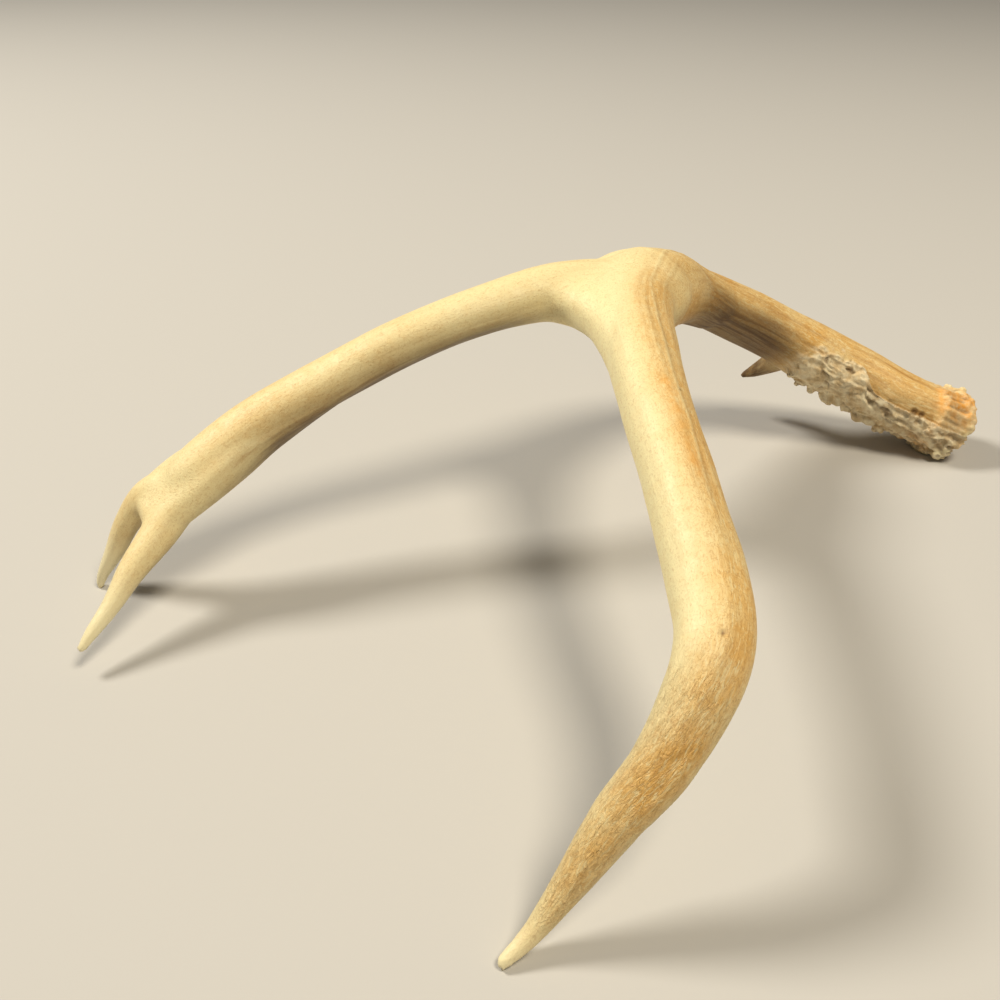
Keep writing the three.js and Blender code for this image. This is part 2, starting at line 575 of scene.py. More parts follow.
def relax(mesh, rounds, share=0.5):
    """Evens out the skin, and puts back what that shrinks."""
    points, edges = points_of(mesh), edges_of(mesh)
    for _ in range(rounds):
        points += share * (neighbour_mean(points, edges) - points)
        points -= (share + 0.02) * (neighbour_mean(points, edges) - points)
    set_points(mesh, points)


# The hollows that bone fills at the two forks: the centre, the radius and the rounds it takes.
HOLLOWS = [(FORK, 74, 700), ([-174, 15, 46], 42, 420)]


def fill_hollows(mesh, centre, radius, rounds):
    """Webs the hollows near a fork with bone, and leaves what bulges as it is."""
    points, edges = points_of(mesh), edges_of(mesh)
    away = np.linalg.norm(points - np.array(centre), axis=1)
    picked = np.flatnonzero(away < radius)
    number = np.full(len(points), -1)
    number[picked] = np.arange(len(picked))
    edges = number[edges]
    edges = edges[(edges >= 0).all(1)]
    local = points[picked]
    fade = np.clip((radius - away[picked]) / (0.25 * radius), 0, 1)[:, None]
    for turn in range(rounds):
        if turn % 10 == 0:
            points[picked] = local
            set_points(mesh, points)
            normals = normals_of(mesh)[picked]
        pull = neighbour_mean(local, edges) - local
        outward = (pull * normals).sum(1, keepdims=True)
        local = local + 0.5 * fade * np.clip(outward / 0.01, 0, 1) * pull
    points[picked] = local
    set_points(mesh, points)


def refine_burr(mesh):
    """Halves the grid over the pearled end of the beam."""
    bm = bmesh.new()
    bm.from_mesh(mesh)
    along = LIMBS["beam"].places(points_of(mesh))[0]
    near = np.linalg.norm(points_of(mesh) - BURR_CENTRE, axis=1) < 105
    fine = (along > 116) & near
    edges = [e for e in bm.edges if fine[e.verts[0].index] and fine[e.verts[1].index]]
    bmesh.ops.subdivide_edges(bm, edges=edges, cuts=1, use_grid_fill=True)
    bm.to_mesh(mesh)
    bm.free()


def grow(shape):
    """The whole antler as one skin."""
    skin = fused_skin(shape.skin_grid)
    relax(skin, 8)
    for hollow in HOLLOWS:
        fill_hollows(skin, *hollow)
    relax(skin, 6)
    refine_burr(skin)
    relax(skin, 2)
    return skin


# ---- noise ------------------------------------------------------------------------------------


class Grain:
    """Repeatable noise over points, from one table of random directions."""

    def __init__(self, seed):
        rng = np.random.default_rng(seed)
        self.order = rng.permutation(256)
        self.ways = unit(rng.normal(size=(256, 3)))
        self.spots = rng.random((256, 3))

    def corner(self, cell):
        """The table's row for each lattice cell."""
        x, y, z = (cell.astype(int) & 255).T
        return self.order[(self.order[(self.order[x] + y) & 255] + z) & 255]

    def smooth(self, points):
        """Gradient noise, about -1 to 1."""
        cell = np.floor(points)
        part = points - cell
        ease = part**3 * (part * (part * 6 - 15) + 10)
        total = np.zeros(len(points))
        for corner in np.ndindex(2, 2, 2):
            way = self.ways[self.corner(cell + corner)]
            share = np.where(corner, ease, 1 - ease).prod(1)
            total += share * (way * (part - corner)).sum(1)
        return total * 1.6

    def layered(self, points, layers=3):
        """Several scales of gradient noise."""
        return sum(self.smooth(points * 2**k + 17 * k) / 2**k for k in range(layers))

    def cells(self, points):
        """Distance to the nearest and the next of randomly placed spots, about 0 to 1."""
        cell = np.floor(points)
        near = np.full(len(points), 9.0)
        following = near.copy()
        for step in np.ndindex(3, 3, 3):
            other = cell + step - 1
            away = np.linalg.norm(other + self.spots[self.corner(other)] - points, axis=1)
            following = np.minimum(following, np.maximum(near, away))
            near = np.minimum(near, away)
        return near, following


# ---- sculpting --------------------------------------------------------------------------------

# What is marked on the skin for the materials, each from 0 to 1.
MARKS = ("streak", "crust", "dark", "rust", "rub", "shade", "cord", "warm", "wrinkle", "knot")

# The paths of old blood vessels, which stand up as pale cords, and how high each stands.
CORDS = [
    (
        [
            [74, 137, 98],
            [61, 136, 106],
            [50, 128, 111],
            [44, 119, 114],
            [37, 95, 119],
            [32, 72, 121],
            [31, 52, 121],
            [31, 32, 121],
            [31, 8, 118],
            [32, -17, 114],
            [34, -33, 110],
            [35, -51, 106],
            [36, -68, 101],
            [38, -78, 98],
        ],
        0.28,
    ),
    ([[33, 88, 121], [27, 62, 123], [26, 40, 122], [26, 16, 121], [28, -8, 117], [31, -26, 112]], 0.13),
    ([[46, 112, 112], [41, 88, 116], [37, 62, 118], [36, 38, 118], [35, 14, 115]], 0.14),
    ([[28, 108, 124], [12, 100, 121], [-8, 95, 121], [-26, 88, 119]], 0.16),
    ([[36, -34, 109], [39, -52, 104], [42, -70, 96]], 0.15),
]

# Round pits, left where a vessel ran in: the centre, radius and depth.
PORES = [
    ([32, -119, 85], 1.6, 0.7),
    ([34, -15, 115], 1.2, 0.4),
    ([165, 132, 32], 2.8, 1.8),
    ([187, 127, 28], 3.0, 2.0),
    ([191, 126, 27], 2.6, 1.6),
    ([210, 129, 6], 3.0, 1.6),
]


class Canvas:
    """The skin's points with their places on the limbs, and the relief and marks put on them."""

    def __init__(self, mesh):
        self.points = points_of(mesh)
        self.places = {}
        reach = []
        for name, limb in LIMBS.items():
            along, side, over, distance = limb.places(self.points)
            self.places[name] = (along, side, over, np.degrees(np.arctan2(over, side)))
            reach.append(distance)
        reach = np.array(reach)
        weight = np.exp(-3.4 * reach)
        self.share = dict(zip(LIMBS, weight / weight.sum(0)))
        self.owner = reach.argmin(0)
        self.height = np.zeros(len(self.points))
        self.marks = {name: np.zeros(len(self.points)) for name in MARKS}

    def straight(self, name, stretch, width):
        """A limb's straightened coordinates, divided by a length along it and one across it."""
        along, side, over, _ = self.places[name]
        return np.column_stack([along / stretch, side / width, over / width])

    def mark(self, name, amount):
        self.marks[name] = np.maximum(self.marks[name], np.clip(amount, 0, 1))

    def spot(self, centre, radius):
        """A round fall-off from 1 at a point's nearest place on the skin to 0 at a radius."""
        away = np.linalg.norm(self.points - np.array(centre), axis=1)
        away = np.linalg.norm(self.points - self.points[away.argmin()], axis=1)
        return np.clip(1 - (away / radius) ** 2, 0, 1) ** 2

    def line(self, route):
        """The distance from a smooth route laid on the skin, and the share of it passed."""
        samples = smooth_line([[*point, 0] for point in route])[:, :3]
        laid = self.points[[np.square(self.points - point).sum(1).argmin() for point in samples]]
        reach = 6
        padded = np.vstack([laid[:1].repeat(reach, 0), laid, laid[-1:].repeat(reach, 0)])
        width = 2 * reach + 1
        laid = sum(padded[k : k + len(laid)] for k in range(width)) / width
        near = np.flatnonzero(np.square(self.points - laid.mean(0)).sum(1) < 150**2)
        size = (laid**2).sum(1)
        spots = self.points[near]
        nearest = np.concatenate(
            [(size - 2 * part @ laid.T).argmin(1) for part in np.array_split(spots, 20)]
        )
        away = np.full(len(self.points), 99.0)
        passed = np.zeros(len(self.points))
        away[near] = np.linalg.norm(spots - laid[nearest], axis=1)
        passed[near] = nearest / len(laid)
        return away, passed

    def lift(self, mesh):
        """Moves the skin out by the relief, and starts a new relief."""
        self.points += normals_of(mesh) * self.height[:, None]
        self.height[:] = 0
        set_points(mesh, self.points)


def shape_limbs(canvas, grain):
    """The broad shape: flats, edges and slow swells."""
    along, _, _, angle = canvas.places["beam"]
    beam = canvas.share["beam"] * rise(along, 18, 45)
    low = rise(along, 22, 50) * (1 - rise(along, 105, 135))
    canvas.height -= beam * low * 2.6 * bell(turned(angle, -42), 0, 34)
    canvas.height += beam * low * 1.1 * bell(turned(angle, 6), 0, 13)
    canvas.height -= beam * 1.0 * bell(turned(angle, 52), 0, 20) * (1 - rise(along, 150, 180))

    along, _, _, angle = canvas.places["rear"]
    rear = canvas.share["rear"] * rise(along, 55, 85) * (1 - rise(along, 190, 215))
    canvas.height += rear * 0.9 * bell(turned(angle, -170), 0, 12)
    canvas.height -= rear * 1.5 * bell(turned(angle, -128), 0, 30)

    along, _, _, angle = canvas.places["front"]
    front = canvas.share["front"] * rise(along, 30, 60) * (1 - rise(along, 270, 300))
    canvas.height -= front * 0.8 * bell(turned(angle, 128), 0, 20)

    for name in LIMBS:
        swell = grain.smooth(canvas.straight(name, 34, 15) + 3)
        canvas.height += canvas.share[name] * 0.55 * swell


def lay_cords(canvas):
    """Raised pale cords with a shallow groove on each side."""
    for route, height in CORDS:
        away, passed = canvas.line(route)
        fade = rise(passed, 0, 0.06) * (1 - rise(passed, 0.88, 1))
        canvas.height += height * fade * bell(away, 0, 1.0)
        canvas.height -= 0.5 * height * fade * bell(away, 2.4, 1.1)
        canvas.mark("cord", 0.55 * fade * bell(away, 0, 0.55) * rise(height, 0.0, 0.3))
        canvas.mark("streak", 0.6 * fade * bell(away, 1.7, 0.7))


def cut_grooves(canvas, grain, shape):
    """Long grooves that run with the limbs, deepest on top of the beam."""
    depth = {name: np.full(len(canvas.points), 0.10) for name in LIMBS}
    along, _, _, angle = canvas.places["beam"]
    top = bell(turned(angle, 62), 0, 62)
    depth["beam"] += (0.12 + 0.75 * top) * rise(along, -6, 26)
    along, _, _, angle = canvas.places["front"]
    depth["front"] += 0.26 * bell(turned(angle, 124), 0, 34) * (1 - rise(along, 170, 250))
    along, _, _, angle = canvas.places["rear"]
    depth["rear"] += 0.45 * bell(turned(angle, -178), 0, 22) * rise(along, 50, 90)
    for number, name in enumerate(LIMBS):
        drift = grain.smooth(canvas.straight(name, 40, 30))[:, None] * 0.5
        thin = grain.smooth(canvas.straight(name, 55, 2.6) + drift + 11 * number)
        wide = grain.smooth(canvas.straight(name, 70, 5.0) + drift + 5 * number)
        groove = 0.65 * rise(thin, 0.02, 0.5) + 0.5 * rise(wide, 0.05, 0.55)
        amount = canvas.share[name] * depth[name]
        canvas.height -= shape.groove_depth * amount * groove
        canvas.marks["streak"] = np.maximum(canvas.marks["streak"], np.clip(1.25 * amount * groove, 0, 1))


def pearl_zone(canvas, grain):
    """How far each point lies in the rough, pearled skin above the burr."""
    along, _, _, angle = canvas.places["beam"]
    ragged = grain.layered(canvas.points / 9) * 16
    upper = 24 + 12 * bell(along, 146, 14) - 12 * bell(along, 118, 9)
    lower = -80 - 90 * rise(along, 135, 170)
    edge = rise(turned(angle, lower) * 1.0 + ragged, 0, 14) * (1 - rise(angle + ragged, upper - 6, upper + 8))
    return edge * rise(along + 0.35 * ragged, 112, 124) * canvas.share["beam"]


def burr_places(points):
    """Where points lie on the burr: distance from its axis, turn about it, and height inwards."""
    place = np.array(burr_frame())
    local = (points - place[:3, 3]) @ place[:3, :3]
    return np.hypot(local[:, 0], local[:, 1]), np.arctan2(local[:, 1], local[:, 0]), local[:, 2]


def pearl(canvas, grain, shape):
    """Lace of ridges, pits and pearls above the burr, and the burr's own fan of ridges."""
    zone = pearl_zone(canvas, grain)
    along, _, _, angle = canvas.places["beam"]
    warp = grain.layered(canvas.points / 11)[:, None] * 0.35
    net = np.abs(grain.smooth(canvas.straight("beam", 12, 4.6) + warp))
    ridges = 1 - rise(net, 0.0, 0.36)
    pits = rise(grain.smooth(canvas.straight("beam", 8, 3.8) + 1.5 * warp + 31), 0.3, 0.75)
    near, _ = grain.cells(canvas.straight("beam", 4.2, 2.6) + 2 * warp)
    rough = 1.0 * ridges - 1.3 * pits + 0.5 * (0.5 - rise(near, 0.15, 0.75))
    rough += 0.8 * grain.layered(canvas.points / 9) + 0.5
    canvas.height += shape.pearl_height * zone * rough
    canvas.mark("crust", zone)
    canvas.mark("dark", zone * (0.55 * pits + 0.18 * rise(0.4 - rough, 0.1, 0.9)))

    folds = 1 - rise(np.abs(grain.smooth(canvas.straight("beam", 26, 3.6) + 7)), 0, 0.4)
    fan = canvas.share["beam"] * rise(along, 172, 186) * (1 - rise(turned(angle, -30), 30, 62))
    canvas.height += shape.pearl_height * fan * (1.1 * folds - 0.4)
    canvas.mark("dark", 0.45 * fan * (1 - rise(folds, 0, 0.3)))

    radius, turn, height = burr_places(canvas.points)
    wander = grain.layered(canvas.points / 12) * 2.2
    flutes = np.cos(turn * 13 + wander) * 0.6 + np.cos(turn * 23 - wander) * 0.3
    skirt = rise(height, 4.5, 8) * (1 - rise(height, 15, 27)) * rise(radius, 11, 14)
    canvas.height += shape.pearl_height * 0.85 * skirt * flutes
    canvas.mark("dark", skirt * rise(-flutes, 0.2, 0.8) * 0.55)

    stain = canvas.spot([208, 132, 30], 16) + canvas.spot([217, 135, 22], 18)
    stain += 0.8 * canvas.spot([210, 128, 14], 11)
    rim = bell(height, 3.2, 4.2) * rise(radius, 14, 17)
    near, _ = grain.cells(canvas.points / 3.6)
    canvas.height += shape.pearl_height * rim * (0.6 - rise(near, 0.1, 0.75)) * 0.8
    canvas.mark("crust", np.maximum(0.6 * rim, 0.4 * skirt))
    canvas.mark("cord", 0.75 * rim * rise(0.6 - near, -0.1, 0.4) * (1 - np.clip(stain, 0, 1)))

    seal = (1 - rise(height, -0.2, 1.6)) * (1 - rise(radius, 13, 17))
    near, _ = grain.cells(canvas.points / 2.6)
    canvas.height -= 0.45 * seal * rise(near, 0.2, 0.7)
    canvas.mark("crust", 0.7 * seal)
    canvas.mark("dark", seal * (0.15 + 0.4 * rise(near, 0.35, 0.75)))

    canvas.mark("rust", stain * (0.8 + 0.7 * grain.layered(canvas.points / 4)))
    canvas.mark("rust", 0.45 * skirt * rise(grain.layered(canvas.points / 10), 0, 0.7))


def weather(canvas, grain):
    """Pits, wrinkles, stains, the rubbed tips, and painted shade on the undersides."""
    for centre, radius, depth in PORES:
        spot = canvas.spot(centre, radius)
        canvas.height -= depth * spot
        canvas.mark("dark", 0.85 * spot)

    patches = grain.layered(canvas.points / 22)
    along, _, _, angle = canvas.places["front"]
    front = canvas.share["front"]
    right = rise(angle + 9 * patches, 58, 104) * (1 - rise(turned(angle, 180), 0, 50))
    low = rise(along, 205, 262) * (1 - rise(along, 305, 335))
    low *= 0.1 + 0.9 * rise(angle, 25, 70)
    canvas.mark("warm", front * (0.76 * right + 0.3 * low + 0.04))
    patch = bell(along, 128, 16) + 0.7 * bell(along, 160, 12)
    tint = bell(turned(angle, 104), 0, 15) * (0.7 + 0.6 * grain.layered(canvas.points / 4))
    canvas.mark("rust", front * 0.45 * patch * tint)
    wrinkles = rise(along, 222, 250) * (1 - rise(along, 318, 340))
    folds = grain.smooth(canvas.straight("front", 13, 2.7) + 0.5 * patches[:, None])
    canvas.height -= front * wrinkles * 0.28 * rise(folds, -0.05, 0.55)
    canvas.mark("wrinkle", front * wrinkles)
    canvas.mark("streak", front * wrinkles * 0.22 * rise(folds, 0.1, 0.6))
    canvas.mark("rub", front * rise(along, 318, 352))

    along, _, _, angle = canvas.places["beam"]
    beam = canvas.share["beam"]
    canvas.mark("warm", beam * (0.85 + 0.3 * patches) * rise(along, -8, 42))
    canvas.mark("warm", 0.8 * canvas.spot([47, 112, 108], 30))
    canvas.mark("warm", 0.6 * canvas.spot([52, 128, 108], 42))
    canvas.mark("warm", canvas.spot([50, 112, 94], 34))
    canvas.mark("streak", 0.45 * canvas.spot([50, 112, 94], 30))
    # Painted shade: the beam's flank towards the floor, and a spot under the fork, get the dark brown, which
    # also stands for real brown stain there.
    under = 1 - rise(np.abs(turned(angle + 8 * patches, -60)), 80, 102)
    under *= rise(along, 12, 56) * (1 - 0.6 * rise(along, 100, 126))
    canvas.mark("shade", beam * under)
    canvas.mark("shade", 0.8 * canvas.spot([58, 124, 82], 26))
    canvas.marks["shade"] *= 1 - canvas.marks["crust"]

    along, _, _, angle = canvas.places["rear"]
    rear = canvas.share["rear"]
    # Painted shade on the rear branch's underside, over its real brown stain.
    under = 1 - rise(np.abs(turned(angle + 6 * patches, -112)), 60, 80)
    canvas.mark("shade", rear * under * rise(along, 40, 90) * (1 - 0.5 * rise(along, 190, 215)))
    canvas.mark("warm", rear * (0.16 + 0.25 * rise(along, 80, 150) * (0.6 + patches)))

    for name in ("end_front", "end_rear"):
        along, _, _, angle = canvas.places[name]
        length = LIMBS[name].length
        canvas.mark("rub", canvas.share[name] * rise(along, 0.5 * length, 0.9 * length))
        # Painted shade under the fork tines, given the same dark brown as the other undersides.
        below = 1 - rise(np.abs(turned(angle, -90)), 35, 80)
        canvas.mark("shade", 0.75 * canvas.share[name] * below)
    canvas.mark("warm", 0.3 * (canvas.share["end_front"] + canvas.share["end_rear"]))
    canvas.mark("warm", 0.9 * canvas.share["brow"])
    # Painted shade: the whole brow nub gets the dark brown of the shaded undersides.
    canvas.mark("shade", canvas.share["brow"])

    largest = np.max(list(canvas.share.values()), axis=0)
    canvas.mark("knot", 1 - rise(largest, 0.6, 0.95))


def store(mesh, name, kind, values):
    """Keeps values of the skin's points as a named attribute."""
    field = "vector" if kind == "FLOAT_VECTOR" else "value"
    mesh.attributes.new(name, kind, "POINT").data.foreach_set(field, np.ravel(values).astype(np.float32))


def sculpt(skin, shape):
    """Puts the relief into the skin, and stores the marks for the materials."""
    canvas, grain = Canvas(skin), Grain(SEED)
    shape_limbs(canvas, grain)
    canvas.lift(skin)
    lay_cords(canvas)
    cut_grooves(canvas, grain, shape)
    pearl(canvas, grain, shape)
    weather(canvas, grain)
    canvas.lift(skin)
    # The antler's three feet are worn level where they meet the ground.
    canvas.points[:, 2] = np.maximum(canvas.points[:, 2], -SETTLE[2])
    set_points(skin, canvas.points)

    edges = edges_of(skin)
    for name in ("warm", "shade", "streak"):
        values = canvas.marks[name][:, None]
        for _ in range(3 if name == "streak" else 90):
            values = 0.5 * values + 0.5 * neighbour_mean(values, edges)
        canvas.marks[name] = values[:, 0]

    # Dirt stays in what is left hollow.
    pull = neighbour_mean(canvas.points, edges) - canvas.points
    hollow = (pull * normals_of(skin)).sum(1)
    for _ in range(2):
        hollow = neighbour_mean(hollow[:, None], edges)[:, 0]
    canvas.mark("dark", canvas.marks["crust"] * rise(hollow, 0.02, 0.14) * 0.8)

    for name, values in canvas.marks.items():
        store(skin, name, "FLOAT", values)
    along = np.empty((len(LIMBS), len(canvas.points), 3))
    for number, name in enumerate(LIMBS):
        along[number] = canvas.straight(name, 1, 1) + 400 * number
    store(skin, "grain", "FLOAT_VECTOR", along[canvas.owner, np.arange(len(canvas.points))])


# ---- parting the skin -------------------------------------------------------------------------

# Each piece's node in the model, the limb it is found on and how far along, and its slot.
PIECES = {
    "antler_beam": ("main_beam", "beam", 60, "beam_bone"),
    "antler_front_tine": ("front_tine", "front", 200, "tine_bone"),
    "antler_rear_branch": ("rear_branch", "rear", 130, "tine_bone"),
    "antler_front_tip": ("fork_tine_front", "end_front", 45, "tip_bone"),
    "antler_rear_tip": ("fork_tine_rear", "end_rear", 45, "tip_bone"),
}

CUTS = [
    ("front", FRONT_TINE_PARTS_AT),
    ("rear", REAR_BRANCH_PARTS_AT),
    ("end_front", FORK_TINES_PART_AT),
    ("end_rear", FORK_TINES_PART_AT),
]


def part_skin(mesh):
    """Cuts the skin across at the forks and closes each cut, so that every piece is solid."""
    bm = bmesh.new()
    bm.from_mesh(mesh)
    cap = bm.faces.layers.int.new("cap")
    for name, along in CUTS:
        limb = LIMBS[name]
        i = limb.sample(along)
        centre = Vector(limb.points[i])
        reach = limb.half[i] * 1.45
        faces = [f for f in bm.faces if (f.calc_center_median() - centre).length < reach]
        edges = {e for f in faces for e in f.edges}
        verts = {v for f in faces for v in f.verts}
        cut = bmesh.ops.bisect_plane(
            bm,
            geom=[*faces, *edges, *verts],
            dist=1e-5,
            plane_co=centre,
            plane_no=Vector(limb.tangent[i]),
        )
        rim = [e for e in cut["geom_cut"] if isinstance(e, bmesh.types.BMEdge)]
        bmesh.ops.split_edges(bm, edges=rim)
    open_edges = [e for e in bm.edges if e.is_boundary]
    for face in bmesh.ops.holes_fill(bm, edges=open_edges)["faces"]:
        face[cap] = 1
    bm.to_mesh(mesh)
    bm.free()


def keep_shading(mesh, smooth):
    """Shades each piece with the whole skin's normals, and its cut faces flat."""
    count = len(mesh.loops)
    corners = np.empty(count, int)
    mesh.loops.foreach_get("vertex_index", corners)
    normals = smooth[corners]
    for face in mesh.polygons:
        if mesh.attributes["cap"].data[face.index].value:
            normals[face.loop_start : face.loop_start + face.loop_total] = face.normal
    mesh.normals_split_custom_set(normals.tolist())
    mesh.attributes.remove(mesh.attributes["cap"])


def separate(skin):
    """The parted skin's pieces by name, in the model's frame."""
    store(skin, "smooth", "FLOAT_VECTOR", normals_of(skin))
    part_skin(skin)
    whole = new_object("skin", skin)
    bpy.ops.object.select_all(action="DESELECT")
    whole.select_set(True)
    bpy.context.view_layer.objects.active = whole
    bpy.ops.mesh.separate(type="LOOSE")
    found = list(bpy.context.selected_objects)
    pieces = {}
    for name, (_, limb, along, _) in PIECES.items():
        seed = LIMBS[limb].points[LIMBS[limb].sample(along)]
        nearest = [np.linalg.norm(points_of(obj.data) - seed, axis=1).min() for obj in found]
        pieces[name] = found.pop(int(np.argmin(nearest)))
    if found:
        raise RuntimeError(f"the skin came apart in {len(found)} pieces too many")
    for name, obj in pieces.items():
        obj.name = obj.data.name = name
        mesh = obj.data
        smooth = np.empty(len(mesh.vertices) * 3)
        mesh.attributes["smooth"].data.foreach_get("vector", smooth)
        mesh.attributes.remove(mesh.attributes["smooth"])
        set_points(mesh, (points_of(mesh) + SETTLE) * MM)
        keep_shading(mesh, smooth.reshape(-1, 3))
    return pieces


# ---- materials --------------------------------------------------------------------------------


def add(tree, kind, settings=(), output=None, **inputs):
    """Adds a node with its settings, sets or links its inputs, and returns an output.

    An input goes by its name in small letters, or by its number after an underscore.
    """
    node = tree.nodes.new("ShaderNode" + kind)
    for name, value in dict(settings).items():
        setattr(node, name, value)
    feed(tree, node, **inputs)
    return node.outputs[output] if output else next(s for s in node.outputs if s.enabled)


def feed(tree, node, **inputs):
    for name, value in inputs.items():
        label = name.replace("_", " ")
        shown = [socket for socket in node.inputs if socket.enabled]
        socket = (
            shown[int(name[1:])]
            if name.startswith("_")
            else next(socket for socket in shown if socket.name.lower() == label)
        )
        if isinstance(value, bpy.types.NodeSocket):
            tree.links.new(value, socket)
        else:
            socket.default_value = value


def new_material(name):
    material = bpy.data.materials.new(name)
    material.use_nodes = True
    return material, material.node_tree, material.node_tree.nodes["Principled BSDF"]


TIMES = {"operation": "MULTIPLY", "use_clamp": True}
PLUS = {"operation": "ADD", "use_clamp": True}
SMOOTH = {"interpolation_type": "SMOOTHSTEP"}
PAINT = {"data_type": "RGBA"}

# The bone's patterns: whether each runs with the grain or lies in plain space, the size of its
# features in millimetres, then its detail, its roughness and how far it is twisted.
PATTERNS = {
    "round_specks": ("space", (0.9, 0.9, 0.9), 3, 0.6, 0),
    "long_specks": ("grain", (1.5, 0.7, 0.7), 3, 0.6, 0),
    "long_fibres": ("grain", (4, 1, 1), 2, 0.6, 0.9),
    "long_streaks": ("grain", (45, 2, 2), 2, 0.5, 0.3),
    "folds": ("grain", (4.5, 1.3, 1.3), 3, 0.65, 1.8),
    "worms": ("space", (2.4, 2.4, 2.4), 1.5, 0.5, 1.2),
    "clouds": ("space", (16, 16, 16), 3, 0.6, 0),
    "mottle": ("space", (5, 5, 5), 3, 0.65, 0),
    "grit": ("space", (1.2, 1.2, 1.2), 4, 0.7, 0),
}

# Patterns that lose their direction where limbs join: the one along a limb, and the round one.
JOINED = {
    "specks": ("long_specks", "round_specks"),
    "fibres": ("long_fibres", "round_specks"),
    "streaks": ("long_streaks", "mottle"),
}

# Smooth ramps: what each one reads, the range it reads, and the range that it gives.
RAMPS = {
    "cloudy": ("clouds", 0.25, 0.7, 0.65, 1.05),
    "blotches": ("mottle", 0.42, 0.75, 0, 0.12),
    "ashen": ("mottle", 0.35, 0.65, 0, 1),
    "fibre_stain": ("warm", 0.05, 0.8, 0.04, 0.24),
    "dark_fibres": ("fibres", 0.5, 0.7, 0, 1),
    "hairline_stain": ("warm", 0, 0.8, 0.16, 0.42),
    "hairlines": ("worms", 0.045, 0, 0, 1),
    "bleach": ("warm", 0.1, 0.9, 0.05, 0.5),
    "pale_fibres": ("fibres", 0.5, 0.32, 0, 1),
    "first_rust": ("mottle", 0.3, 0.6, 0.25, 0.8),
    "last_rust": ("mottle", 0.35, 0.6, 0.3, 0.85),
    "dark_specks": ("specks", 0.54, 0.74, 0, 1),
    "dark_streaks": ("streaks", 0.36, 0.6, 0.2, 0.75),
    "bark_streaks": ("streaks", 0.3, 0.65, 0.72, 0.95),
    "dirt_specks": ("specks", 0.3, 0.6, 0.6, 0.95),
    "gloss": ("mottle", 0.3, 0.7, -0.06, 0.06),
}

# What lies over the clean bone, in order: its colour, how much, and what breaks it up.
LAYERS = [
    ("tan", "stain", 1.0),
    ("umber", "fibre_stain", "dark_fibres"),
    ("umber", "hairline_stain", "hairlines"),
    ("cream", "bleach", "pale_fibres"),
    ("rust", "rust", "first_rust"),
    ("umber", "dark_specks", "speckle"),
    ("umber", "streak", "dark_streaks"),
    ("crust_colour", "crust", 0.92),
    ("rust", "rust", "last_rust"),
    ("cream", "cord", 0.9),
    # Painted shade over the undersides' real brown stain, broken up by streaks.
    ("bark", "shade", "bark_streaks"),
    ("ivory", "rub", 0.75),
    ("brown", "dark", "dirt_specks"),
]

# Relief too fine for the mesh: the pattern, its depth in millimetres, and the mark it keeps to.
RELIEF = [
    ("streaks", 0.08, None),
    ("folds", 0.9, "wrinkle"),
    ("fibres", 0.14, None),
    ("specks", 0.14, None),
    ("grit", 0.45, "crust"),
]


def bone_material(name, colours, speckle, roughness):
    """Dry, hard antler: cortical bone with a matt, finely pitted skin.

    Its vessels and fibres run along the limb, so the eye sees fine streaks and specks that are
    longer than they are wide. Bark and soil have stained the hollows tan and brown, and the
    skin is paler and glossier where it was rubbed. The undersides get a dark brown that is
    painted shade as well as their own brown stain.
    """
    material, tree, shader = new_material(name)
    # The grain attribute is in millimetres, and Object coordinates are in metres.
    vectors = {
        "space": (add(tree, "TexCoord", output="Object"), MM),
        "grain": (add(tree, "Attribute", {"attribute_name": "grain"}, "Vector"), 1),
    }
    values = {mark: add(tree, "Attribute", {"attribute_name": mark}, "Fac") for mark in MARKS}
    values["speckle"] = speckle
    for pattern, (kind, size, detail, rough, twist) in PATTERNS.items():
        vector, length = vectors[kind]
        place = add(tree, "Mapping", vector=vector, scale=[1 / (across * length) for across in size])
        look = {"detail": detail, "roughness": rough, "distortion": twist}
        values[pattern] = add(tree, "TexNoise", vector=place, scale=1.0, **look)
    for pattern, (along, everywhere) in JOINED.items():
        ends = {"a": values[along], "b": values[everywhere]}
        values[pattern] = add(tree, "Mix", factor=values["knot"], **ends)
    # Worm-like hairlines, which stain has crept along, lie where the noise crosses its middle.
    middle = add(tree, "Math", {"operation": "SUBTRACT"}, _0=values["worms"], _1=0.5)
    values["worms"] = add(tree, "Math", {"operation": "ABSOLUTE"}, _0=middle)
    for ramp, (source, low, high, least, most) in RAMPS.items():
        ends = {"from_min": low, "from_max": high, "to_min": least, "to_max": most}
        values[ramp] = add(tree, "MapRange", SMOOTH, value=values[source], **ends)
    stain = add(tree, "Math", TIMES, _0=values["warm"], _1=values["cloudy"])
    values["stain"] = add(tree, "Math", PLUS, _0=stain, _1=values["blotches"])

    paints = {
        "crust_colour": add(tree, "Mix", PAINT, factor=values["ashen"], a=colours.pearl, b=colours.ash)
    }
    colour = colours.cream
    for paint, *amounts in LAYERS:
        amount, broken = (values.get(source, source) for source in amounts)
        share = add(tree, "Math", TIMES, _0=amount, _1=broken)
        over = paints[paint] if paint in paints else getattr(colours, paint)
        colour = add(tree, "Mix", PAINT, factor=share, a=colour, b=over)

    worn = {"from_min": 0, "from_max": 1, "to_min": roughness, "to_max": roughness - 0.2}
    worn = add(tree, "MapRange", SMOOTH, value=values["rub"], **worn)
    rough = add(tree, "Math", PLUS, _0=worn, _1=values["gloss"])

    normal = {}
    for pattern, depth, kept in RELIEF:
        height = values[pattern]
        if kept:
            height = add(tree, "Math", TIMES, _0=height, _1=values[kept])
        bump = add(tree, "Bump", height=height, distance=depth * MM, strength=1.0, **normal)
        normal = {"normal": bump}
    feed(tree, shader, base_color=colour, roughness=rough, ior=1.54, **normal)
    return material


